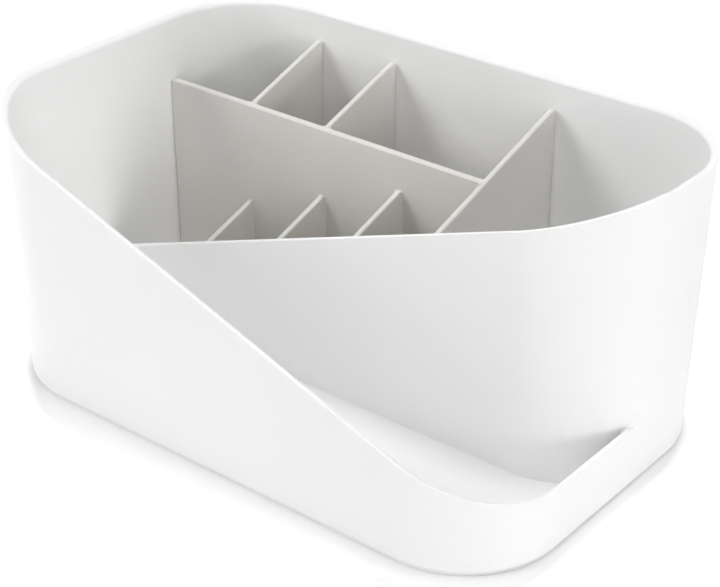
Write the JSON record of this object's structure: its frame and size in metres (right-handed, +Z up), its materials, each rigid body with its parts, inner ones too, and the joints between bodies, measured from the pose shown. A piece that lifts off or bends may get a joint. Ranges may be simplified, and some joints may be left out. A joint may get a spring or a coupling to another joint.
{
  "type": "desk organizer",
  "caption": "Free-standing moulded organizer tub with a slanted front tray, a crossing slanted inner wall and a lift-out divider that makes upright slots.",
  "frame": {"origin": "on the table, under the middle of the tub", "axes": "+Z up, +X to the right along the tub, +Y from the front tray to the back wall"},
  "size_m": [0.29, 0.1865, 0.1344],
  "materials": {
    "tub_white": "satin white, fine even moulded surface",
    "insert_grey": "satin warm light grey, fine even moulded surface",
    "pad_rubber": "matt light grey"
  },
  "bodies": {
    "tub": {"tub": "tub_white", "foot_pad_front_left": "pad_rubber", "foot_pad_front_right": "pad_rubber", "foot_pad_back_left": "pad_rubber", "foot_pad_back_right": "pad_rubber"},
    "insert": {"divider_insert": "insert_grey"}
  },
  "joints": [
    {"name": "insert_lift", "type": "slide", "parent": "tub", "child": "insert", "axis": [0, 0, 1], "range_m": [0, 0.14]}
  ]
}
